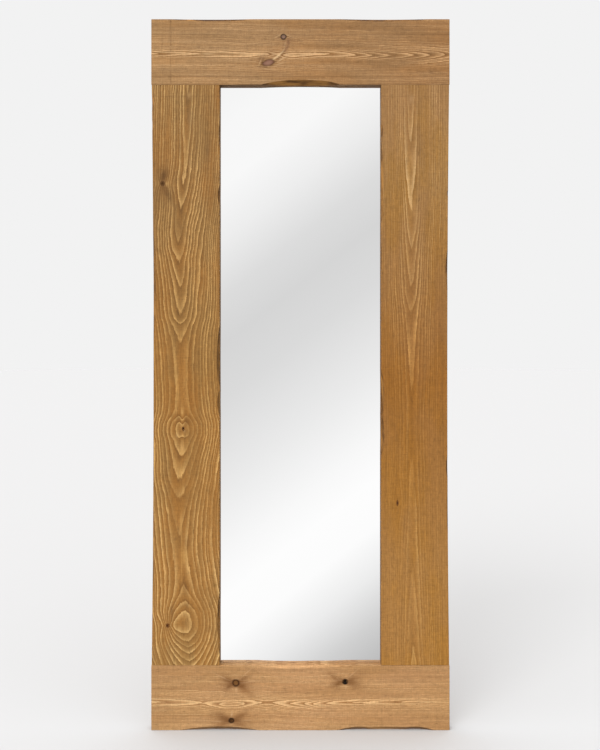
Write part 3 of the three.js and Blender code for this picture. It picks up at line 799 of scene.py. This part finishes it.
def makeGlass():
    low, high = (Vector(c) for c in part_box("mirror_glass"))
    deselectAll()
    bpy.ops.mesh.primitive_cube_add(size=1, location=(low + high) / 2, scale=high - low)
    piece = nameIt("silvered_glass")
    settle(piece)
    editing(piece, "ALL")
    bpy.ops.mesh.bevel(offset=glassSettings["edge"], segments=2, affect="EDGES")
    doneEditing()
    silver = Finish("silvered_face")
    silverTone = (glassSettings["reflects"], glassSettings["reflects"], glassSettings["reflects"], 1.0)
    piece.data.materials.append(silver.surface(Base_Color=silverTone, Metallic=1.0, Roughness=0.0))
    edge = Finish("polished_glass_edge")
    streak = edge.noise(edge.stretch(edge.place(), (40, 900, 40)), 1.0, 2.0)
    edgeColour = edge.mix(streak, tint(glassSettings["edgeTint"]), tint(glassSettings["edgePale"]))
    piece.data.materials.append(edge.surface(Base_Color=edgeColour, Roughness=0.18 + streak * 0.1))
    back = Finish("mirror_back_paint")
    speck = back.noise(back.place(), 220.0, 3.0)
    backColour = back.mix(speck, tint(glassSettings["backPaint"]), tint(glassSettings["backPale"]))
    piece.data.materials.append(back.surface(
        Base_Color=backColour, Roughness=0.45 + speck * 0.15, Normal=back.bump(speck, 0.1, 0.1 * mm)))
    for face in piece.data.polygons:
        face.material_index = 0 if face.normal.y < -0.9 else 2 if face.normal.y > 0.9 else 1
    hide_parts("mirror_glass")
    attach(piece, "frame")
    print("glass made")


makeGlass()

# zinc-plated steel, for everything that screws or hangs

zincSettings = {"bright": "#b9bec2", "dull": "#8d9499", "rough": 0.30, "scratch": 0.16}


def zincFinish(name, grainSizes):
    zinc = Finish(name)
    place = zinc.place()
    spangle = zinc.noise(place, 420.0, 3.0, 0.6)
    brushed = zinc.noise(zinc.stretch(place, grainSizes), 1.0, 3.0, 0.6)
    patch = zinc.noise(place, 90.0, 2.0)
    colour = zinc.mix(spangle * 0.5 + patch * 0.5, tint(zincSettings["dull"]), tint(zincSettings["bright"]))
    rough = zincSettings["rough"] + brushed * zincSettings["scratch"] + patch * 0.10
    return zinc.surface(
        Base_Color=colour, Metallic=1.0, Roughness=rough,
        Normal=zinc.bump(brushed + spangle * 0.4, 0.25, 0.05 * mm),
    )


zincPlate = zincFinish("zinc_plate", (2600, 2600, 160))
zincTurned = zincFinish("zinc_turned", (1500, 300, 1500))

# screws: a domed pan head with a cross recess, and a ridged shank

screwShape = {"sides": 36, "domeRounding": 1.25 * mm, "domeTurns": 5, "ridge": 0.78, "ridges": 8,
              "point": 3.5 * mm,
              "recessLong": 4.4 * mm, "recessWide": 1.0 * mm, "recessDeep": 1.3 * mm,
              "headRadius": 4.0 * mm, "headHeight": 2.4 * mm, "shankRadius": 2.0 * mm}


def makeScrewMaster(length):
    # stands along Z with the top of its head at the origin
    s = screwShape
    deselectAll()
    bpy.ops.mesh.primitive_cylinder_add(
        vertices=s["sides"], radius=s["headRadius"], depth=s["headHeight"],
        location=(0, 0, -s["headHeight"] / 2))
    master = nameIt("screw_master")
    settle(master)
    pickVerts(master, lambda co: co.z > -1e-6)
    bpy.ops.mesh.bevel(offset=s["domeRounding"], segments=s["domeTurns"], profile=0.55, affect="EDGES")
    doneEditing()
    for face in master.data.polygons:
        face.select = face.normal.z < -0.9
    editShank(length)
    for turn in (0, math.pi / 2):
        deselectAll()
        bpy.ops.mesh.primitive_cube_add(
            size=1, location=(0, 0, 0), rotation=(0, 0, turn),
            scale=(s["recessLong"], s["recessWide"], 2 * s["recessDeep"]))
        cutAway(master, nameIt("recess"))
    editing(master, "ALL")
    bpy.ops.mesh.remove_doubles(threshold=1e-6)
    bpy.ops.mesh.normals_make_consistent(inside=False)
    doneEditing()
    master.data.transform(Matrix.Rotation(-math.pi / 2, 4, "X"))
    smooth(master, 35)
    paint(master, zincTurned)
    return master


def editShank(length):
    # from the selected underside of the head: a shank with ridges and a point
    s = screwShape
    bpy.ops.object.mode_set(mode="EDIT")
    bpy.ops.mesh.select_mode(type="FACE")
    bpy.ops.mesh.inset(thickness=s["headRadius"] - s["shankRadius"])
    pitch = (length - s["headHeight"] - s["point"]) / (2 * s["ridges"])
    for count in range(2 * s["ridges"]):
        bpy.ops.mesh.extrude_region_move(TRANSFORM_OT_translate={"value": (0, 0, -pitch)})
        size = s["ridge"] if count % 2 == 0 else 1 / s["ridge"]
        bpy.ops.transform.resize(value=(size, size, 1))
    bpy.ops.mesh.extrude_region_move(TRANSFORM_OT_translate={"value": (0, 0, -s["point"])})
    bpy.ops.transform.resize(value=(0.12, 0.12, 1))
    doneEditing()


def makeScrews():
    masters = {}
    for name in sorted(n for n in nodes if "_screw_" in n):
        low, high = (Vector(c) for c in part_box(name))
        length = round(high.y - low.y, 5)
        if length not in masters:
            masters[length] = makeScrewMaster(length)
        top = Vector(((low.x + high.x) / 2, high.y, (low.z + high.z) / 2))
        piece = placeCopy(masters[length], name + "_cross_head", top)
        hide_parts(name)
        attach(piece, "frame")
    for master in masters.values():
        bpy.data.objects.remove(master, do_unlink=True)
    print("screws made")


makeScrews()

# turn buttons: a stadium of strip steel with a pressed groove

buttonShape = {"hole": 2.7 * mm, "rim": 0.45 * mm, "grooveFrom": 9 * mm, "grooveLong": 18 * mm,
               "grooveWide": 3.2 * mm, "grooveDeep": 0.5 * mm, "turns": 12}


def makeButtonMaster(long, wide, thick):
    # lies in XZ with its screw hole at the origin, its nose along +X, and grows from y 0 outwards
    b = buttonShape
    deselectAll()
    bpy.ops.mesh.primitive_cube_add(
        size=1, location=((long - wide) / 2, thick / 2, 0), scale=(long, thick, wide))
    master = nameIt("turn_button_master")
    settle(master)
    pickEdges(master, lambda edge, first, last: abs(first.y - last.y) > thick / 2)
    bpy.ops.mesh.bevel(offset=0.499 * wide, segments=b["turns"], affect="EDGES", clamp_overlap=True)
    doneEditing()
    deselectAll()
    bpy.ops.mesh.primitive_cylinder_add(
        vertices=36, radius=b["hole"], depth=4 * thick, location=(0, 0, 0), rotation=(math.pi / 2, 0, 0))
    cutAway(master, nameIt("hole"))
    deselectAll()
    bpy.ops.mesh.primitive_uv_sphere_add(
        segments=24, ring_count=12, radius=0.5, location=(b["grooveFrom"] + b["grooveLong"] / 2, thick, 0),
        scale=(b["grooveLong"], 2 * b["grooveDeep"], b["grooveWide"]))
    cutAway(master, nameIt("groove"))
    modifier = master.modifiers.new("rim", "BEVEL")
    modifier.width = b["rim"]
    modifier.segments = 2
    modifier.limit_method = "ANGLE"
    modifier.angle_limit = math.radians(60)
    makeActive(master)
    bpy.ops.object.modifier_apply(modifier=modifier.name)
    smooth(master, 35)
    paint(master, zincPlate)
    return master


def makeButtons():
    low, high = (Vector(c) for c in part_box("turn_button_left_1"))
    size = high - low
    master = makeButtonMaster(size.x, size.z, size.y)
    for joint in frame["joints"]:
        name = joint["child"]
        if not name.startswith("turn_button_"):
            continue
        pivot = Vector(joint["pos_m"])
        toNose = middleOf(name) - pivot
        turn = math.atan2(-toNose.z, toNose.x)
        place = Vector((pivot.x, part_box(name)[0][1], pivot.z))
        piece = placeCopy(master, name + "_strip", place, turn)
        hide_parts(name)
        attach(piece, name)
    bpy.data.objects.remove(master, do_unlink=True)
    print("turn buttons made")


makeButtons()

# hangers: a strap rolled round a D-shaped wire ring

hangerShape = {"wire": 2.0 * mm, "corner": 2.9 * mm, "leg": 6.0 * mm, "half": 12.6 * mm, "around": 20,
               "strapThick": 1.5 * mm, "bore": 2.3 * mm, "hole": 2.4 * mm, "holes": (36 * mm, 60 * mm),
               "curlGap": 0.35 * mm, "rim": 0.22 * mm}


def extrudeBy(x, y, z):
    bpy.ops.mesh.extrude_region_move(TRANSFORM_OT_translate={"value": (x, y, z)})


def makeRingMaster():
    # hangs in XZ from its bar's middle at the origin
    h = hangerShape
    corner, half, leg = h["corner"], h["half"], h["leg"]
    deselectAll()
    bpy.ops.mesh.primitive_circle_add(
        vertices=h["around"], radius=h["wire"], fill_type="NOTHING", location=(0, 0, 0),
        rotation=(0, math.pi / 2, 0))
    master = nameIt("ring_master")
    settle(master)
    editing(master, "ALL")
    extrudeBy(half - corner, 0, 0)
    bpy.ops.mesh.spin(steps=8, angle=-math.pi / 2, center=(half - corner, 0, -corner), axis=(0, 1, 0))
    extrudeBy(0, 0, corner - leg)
    bpy.ops.mesh.spin(steps=40, angle=-math.pi, center=(0, 0, -leg), axis=(0, 1, 0))
    extrudeBy(0, 0, leg - corner)
    bpy.ops.mesh.spin(steps=8, angle=-math.pi / 2, center=(corner - half, 0, -corner), axis=(0, 1, 0))
    extrudeBy(half - corner, 0, 0)
    bpy.ops.mesh.select_all(action="SELECT")
    bpy.ops.mesh.remove_doubles(threshold=0.02 * mm)
    bpy.ops.mesh.normals_make_consistent(inside=False)
    doneEditing()
    smooth(master, 60)
    paint(master, zincTurned)
    return master


def makeStrapMaster(wide, drop, roll, backOff):
    # its ring's bar lies along X through the origin; the plate hangs flat against the wood
    h = hangerShape
    thick = h["strapThick"]
    deselectAll()
    bpy.ops.mesh.primitive_cube_add(
        size=1, location=(0, backOff + thick / 2, -drop / 2), scale=(wide, thick, drop))
    master = nameIt("strap_master")
    settle(master)
    pickEdges(master, lambda edge, first, last: first.z < -drop / 2 and abs(first.y - last.y) > thick / 2)
    bpy.ops.mesh.bevel(offset=0.499 * wide, segments=14, affect="EDGES", clamp_overlap=True)
    doneEditing()
    across = (0, math.pi / 2, 0)
    deselectAll()
    bpy.ops.mesh.primitive_cylinder_add(vertices=48, radius=roll, depth=wide, location=(0, 0, 0),
                                        rotation=across)
    cutAway(master, nameIt("roll"), "UNION")
    deselectAll()
    bpy.ops.mesh.primitive_cylinder_add(
        vertices=48, radius=h["bore"], depth=2 * wide, location=(0, 0, 0), rotation=across)
    cutAway(master, nameIt("bore"))
    deselectAll()
    bpy.ops.mesh.primitive_cube_add(
        size=1, location=(0, 0, -roll), rotation=(math.radians(12), 0, 0),
        scale=(2 * wide, h["curlGap"], 2 * thick))
    cutAway(master, nameIt("curl"))
    for hole in h["holes"]:
        deselectAll()
        bpy.ops.mesh.primitive_cylinder_add(
            vertices=36, radius=h["hole"], depth=4 * thick, location=(0, backOff, -hole),
            rotation=(math.pi / 2, 0, 0))
        cutAway(master, nameIt("screw_hole"))
    editing(master, "ALL")
    bpy.ops.mesh.remove_doubles(threshold=0.01 * mm)
    bpy.ops.mesh.dissolve_limited(angle_limit=math.radians(0.5))
    bpy.ops.mesh.normals_make_consistent(inside=False)
    doneEditing()
    modifier = master.modifiers.new("rim", "BEVEL")
    modifier.width = h["rim"]
    modifier.segments = 2
    modifier.limit_method = "ANGLE"
    modifier.angle_limit = math.radians(60)
    makeActive(master)
    bpy.ops.object.modifier_apply(modifier=modifier.name)
    editing(master, "ALL")
    bpy.ops.mesh.remove_doubles(threshold=0.002 * mm)
    bpy.ops.mesh.normals_make_consistent(inside=False)
    doneEditing()
    smooth(master, 35)
    paint(master, zincPlate)
    return master


def makeHangers():
    low, high = (Vector(c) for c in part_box("hanger_strap_left"))
    bars = {j["child"]: Vector(j["pos_m"]) for j in frame["joints"]}
    bar = bars["hanger_ring_left"]
    ring = makeRingMaster()
    strap = makeStrapMaster(high.x - low.x, bar.z - low.z, high.z - bar.z, low.y - bar.y)
    for side in ("left", "right"):
        place = bars["hanger_ring_" + side]
        wire = placeCopy(ring, "hanger_ring_" + side + "_wire", place)
        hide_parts("hanger_ring_" + side)
        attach(wire, "hanger_ring_" + side)
        plate = placeCopy(strap, "hanger_strap_" + side + "_plate", place)
        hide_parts("hanger_strap_" + side)
        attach(plate, "frame")
    bpy.data.objects.remove(ring, do_unlink=True)
    bpy.data.objects.remove(strap, do_unlink=True)
    print("hangers made")


makeHangers()

# felt pads that keep the back off the wall

padSettings = {"rounding": 1.4 * mm, "fuzz": 0.35 * mm, "fuzzSize": 1.1 * mm, "rings": 8,
               "dark": "#4b4640", "pale": "#847b70", "fleck": "#b7ae9f"}


def feltFinish():
    felt = Finish("felt")
    place = felt.place()
    clump = felt.noise(place, 520.0, 4.0, 0.7)
    hair = felt.noise(felt.stretch(place, (2600, 900, 1500)), 1.0, 3.0, 0.7)
    colour = felt.mix(felt.step(clump, 0.3, 0.7), tint(padSettings["dark"]), tint(padSettings["pale"]))
    colour = felt.mix(felt.step(hair, 0.60, 0.72) * 0.5, colour, tint(padSettings["fleck"]))
    return felt.surface(
        Base_Color=colour, Roughness=0.92 + clump * 0.06, Sheen_Weight=0.35,
        Normal=felt.bump(clump + hair * 0.6, 0.8, 0.5 * mm),
    )


def makePads():
    low, high = (Vector(c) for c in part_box("wall_pad_top_left"))
    size = high - low
    deselectAll()
    bpy.ops.mesh.primitive_cylinder_add(
        vertices=64, radius=size.x / 2, depth=size.y, location=(0, size.y / 2, 0),
        rotation=(math.pi / 2, 0, 0))
    master = nameIt("pad_master")
    settle(master)
    pickVerts(master, lambda co: co.y > size.y / 2)
    bpy.ops.mesh.bevel(offset=padSettings["rounding"], segments=4, affect="EDGES")
    doneEditing()
    for face in master.data.polygons:
        face.select = face.normal.y > 0.9
    bpy.ops.object.mode_set(mode="EDIT")
    bpy.ops.mesh.select_mode(type="FACE")
    for ring in range(padSettings["rings"]):
        bpy.ops.mesh.inset(thickness=size.x / 2 / (padSettings["rings"] + 2))
    doneEditing()
    fuzz = bpy.data.textures.new("felt_fuzz", "CLOUDS")
    fuzz.noise_scale = padSettings["fuzzSize"]
    modifier = master.modifiers.new("fuzz", "DISPLACE")
    modifier.texture = fuzz
    modifier.texture_coords = "LOCAL"
    modifier.strength = padSettings["fuzz"]
    modifier.mid_level = 0.9
    makeActive(master)
    bpy.ops.object.modifier_apply(modifier=modifier.name)
    smooth(master, 60)
    paint(master, feltFinish())
    for name in sorted(n for n in nodes if n.startswith("wall_pad_")):
        start = middleOf(name)
        start.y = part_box(name)[0][1]
        piece = placeCopy(master, name + "_felt", start)
        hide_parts(name)
        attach(piece, "frame")
    bpy.data.objects.remove(master, do_unlink=True)
    print("pads made")


makePads()

# pieces that keep the frame's own solids and get a finish

hardboardSettings = {"dark": "#5d4029", "pale": "#8a6544", "mesh": 700.0, "rough": 0.62}


def hardboardFinish():
    board = Finish("hardboard")
    place = board.place()
    x, y, z = board.split(place)
    pulp = board.noise(place, 160.0, 4.0, 0.65)
    broad = board.noise(place, 7.0, 3.0, 0.5)
    weave = board.maths("SINE", x * (math.tau * hardboardSettings["mesh"]))
    weave = weave * board.maths("SINE", z * (math.tau * hardboardSettings["mesh"]))
    colour = board.mix(pulp * 0.7 + broad * 0.3, tint(hardboardSettings["dark"]),
                       tint(hardboardSettings["pale"]))
    thread = board.step(board.noise(board.stretch(place, (300, 300, 60)), 1.0, 2.0), 0.66, 0.74)
    colour = board.mix(thread * 0.25, colour, tint("#a98660"))
    return board.surface(
        Base_Color=colour, Roughness=hardboardSettings["rough"] + pulp * 0.15,
        Normal=board.bump(weave * 0.4 + pulp, 0.35, 0.2 * mm),
    )


def beechFinish():
    beech = Finish("beech_dowel")
    place = beech.place()
    pores = beech.step(beech.noise(beech.stretch(place, (1400, 1400, 160)), 1.0, 2.0), 0.58, 0.70)
    band = beech.noise(beech.stretch(place, (260, 260, 8)), 1.0, 3.0)
    colour = beech.mix(band, tint("#b98d62"), tint("#d6af84"))
    colour = beech.mix(pores * 0.4, colour, tint("#8a6038"))
    return beech.surface(Base_Color=colour, Roughness=0.55 + band * 0.15,
                         Normal=beech.bump(band, 0.3, 0.1 * mm))


def rubberFinish():
    rubber = Finish("black_rubber")
    speck = rubber.noise(rubber.place(), 900.0, 3.0, 0.6)
    colour = rubber.mix(speck, tint("#1c1d1e"), tint("#303234"))
    return rubber.surface(Base_Color=colour, Roughness=0.65 + speck * 0.2,
                          Normal=rubber.bump(speck, 0.4, 0.1 * mm))


keptFinishes = {"dowel_": beechFinish(), "setting_block_": rubberFinish(),
                "backing_board": hardboardFinish()}
for nodeName, node in nodes.items():
    for start, finish in keptFinishes.items():
        if nodeName.startswith(start):
            paint(node, finish)
print("kept pieces painted")

# stage: floor, soft light, the card that the glass reflects, and the camera

stage = {
    "backdrop": "#f2f2f2",
    "eyeHeight": 1.075,
    "cameraAway": 2.6,
    "viewTall": 1.875,  # how much of the mirror's own plane the view takes in, from top to bottom
    "viewMiddle": 0.8883,
    "viewAcross": -0.0011,
    "cardAway": 3.4,
    "cardSize": 9.0,
    "floorTone": (0.586, 0.591, 0.602, 1.0),
    "skyTint": (1.0, 0.985, 0.965, 1.0),
    "skyLean": -0.45,  # how much brighter the left is than the right
    "skySpan": 0.9,
    "skyStrength": (0.22, 1.55),  # from below and from above
    "keyTurn": (math.radians(52), 0, math.radians(-28)),
    "keyEnergy": 0.9,
    "keySoftness": math.radians(28),
    # greys that the card gives, in order down a slant line, as (distance, grey of 255)
    "card": [(0.00, 243), (0.12, 247), (0.26, 248), (0.40, 237), (0.54, 220), (0.66, 213), (0.80, 218),
             (1.02, 234), (1.20, 248), (1.30, 253), (1.42, 252), (1.54, 236), (1.66, 208), (1.76, 189)],
    "cardSlope": 0.78,
    "cardStart": (-0.20, 1.62),  # across and up, where the slant line starts
    "cardMiddle": 0.89,
    "cardFade": (0.75, 1.5),  # across and up from the middle, where the backdrop takes over
}


def makeFloor():
    deselectAll()
    bpy.ops.mesh.primitive_circle_add(vertices=96, radius=14, fill_type="NGON", location=(0, 0, 0))
    floor = nameIt("studio_floor")
    look = Finish("studio_floor")
    paint(floor, look.surface(Base_Color=stage["floorTone"], Roughness=1.0, Specular_IOR_Level=0.0))
    floor.visible_glossy = False
    floor.visible_diffuse = False


def makeWorld():
    world = bpy.data.worlds.new("soft_room")
    bpy.context.scene.world = world
    world.use_nodes = True
    tree = world.node_tree
    tree.nodes.clear()
    output = tree.nodes.new("ShaderNodeOutputWorld")
    seen = tree.nodes.new("ShaderNodeBackground")
    seen.inputs["Color"].default_value = tint(stage["backdrop"])
    lighting = tree.nodes.new("ShaderNodeBackground")
    spread = tree.nodes.new("ShaderNodeTexCoord")
    parts = tree.nodes.new("ShaderNodeSeparateXYZ")
    tree.links.new(spread.outputs["Generated"], parts.inputs[0])
    ramp = tree.nodes.new("ShaderNodeMapRange")  # brighter from above and the left
    lean = tree.nodes.new("ShaderNodeMath")
    lean.operation = "MULTIPLY_ADD"
    lean.inputs[1].default_value = stage["skyLean"]
    tree.links.new(parts.outputs["X"], lean.inputs[0])
    tree.links.new(parts.outputs["Z"], lean.inputs[2])
    tree.links.new(lean.outputs[0], ramp.inputs["Value"])
    ramp.inputs["From Min"].default_value = -stage["skySpan"]
    ramp.inputs["From Max"].default_value = stage["skySpan"]
    ramp.inputs["To Min"].default_value, ramp.inputs["To Max"].default_value = stage["skyStrength"]
    tree.links.new(ramp.outputs[0], lighting.inputs["Strength"])
    lighting.inputs["Color"].default_value = stage["skyTint"]
    rays = tree.nodes.new("ShaderNodeLightPath")
    choose = tree.nodes.new("ShaderNodeMixShader")
    tree.links.new(rays.outputs["Is Diffuse Ray"], choose.inputs[0])
    tree.links.new(seen.outputs[0], choose.inputs[1])
    tree.links.new(lighting.outputs[0], choose.inputs[2])
    tree.links.new(choose.outputs[0], output.inputs["Surface"])


def makeKeyLight():
    deselectAll()
    bpy.ops.object.light_add(type="SUN", rotation=stage["keyTurn"])
    light = bpy.context.object
    light.name = "soft_key"
    light.data.energy = stage["keyEnergy"]
    light.data.angle = stage["keySoftness"]


def makeCard():
    # a big soft card behind the camera, seen only in the glass
    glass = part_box("mirror_glass")[0][1]
    toGlass = stage["cameraAway"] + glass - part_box("top_rail")[0][1]
    grow = (toGlass + glass + stage["cardAway"]) / toGlass
    deselectAll()
    bpy.ops.mesh.primitive_plane_add(
        size=stage["cardSize"], location=(0, -stage["cardAway"], stage["eyeHeight"]),
        rotation=(math.pi / 2, 0, 0))
    card = nameIt("soft_card")
    settle(card)
    look = Finish("soft_card")
    x, y, z = look.split(look.place())
    # across and up are where a point of the card shows in the glass
    across = (x - stage["viewAcross"]) / grow + stage["viewAcross"]
    up = (z - stage["eyeHeight"]) / grow + stage["eyeHeight"]
    longest = stage["card"][-1][0]
    startAcross, startUp = stage["cardStart"]
    slant = ((startUp - up) + (across - startAcross) * stage["cardSlope"]) / longest
    fadeAcross, fadeUp = stage["cardFade"]
    shades = [(where / longest, tintGrey(value)) for where, value in stage["card"]]
    shade = look.node("ShaderNodeValToRGB", {"stops": shades}, {"Fac": slant})
    edgeAcross = look.maths("ABSOLUTE", across) / fadeAcross
    edgeUp = look.maths("ABSOLUTE", up - stage["cardMiddle"]) / fadeUp
    edge = look.maths("MAXIMUM", edgeAcross, edgeUp)
    colour = look.mix(look.step(edge, 0.5, 1.0), shade, tint(stage["backdrop"]))
    glow = look.node("ShaderNodeEmission", {}, {"Color": colour, "Strength": 1 / glassSettings["reflects"]})
    output = look.tree.nodes.new("ShaderNodeOutputMaterial")
    look.tree.links.new(glow.socket, output.inputs["Surface"])
    paint(card, look.material)
    card.visible_camera = False
    card.visible_diffuse = False
    card.visible_shadow = False
    card.visible_transmission = False


def makeCamera():
    scene = bpy.context.scene
    data = bpy.data.cameras.new("camera")
    camera = bpy.data.objects.new("camera", data)
    scene.collection.objects.link(camera)
    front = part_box("top_rail")[0][1]
    camera.location = (stage["viewAcross"], front - stage["cameraAway"], stage["eyeHeight"])
    camera.rotation_euler = (math.pi / 2, 0, 0)
    data.sensor_width = 36
    data.lens = 36 * stage["cameraAway"] / stage["viewTall"]
    data.shift_y = (stage["viewMiddle"] - stage["eyeHeight"]) / stage["viewTall"]
    data.dof.use_dof = False
    data.clip_end = 60
    scene.camera = camera
    scene.view_settings.view_transform = "Standard"


makeFloor()
makeWorld()
makeKeyLight()
makeCard()
makeCamera()
print("stage made")
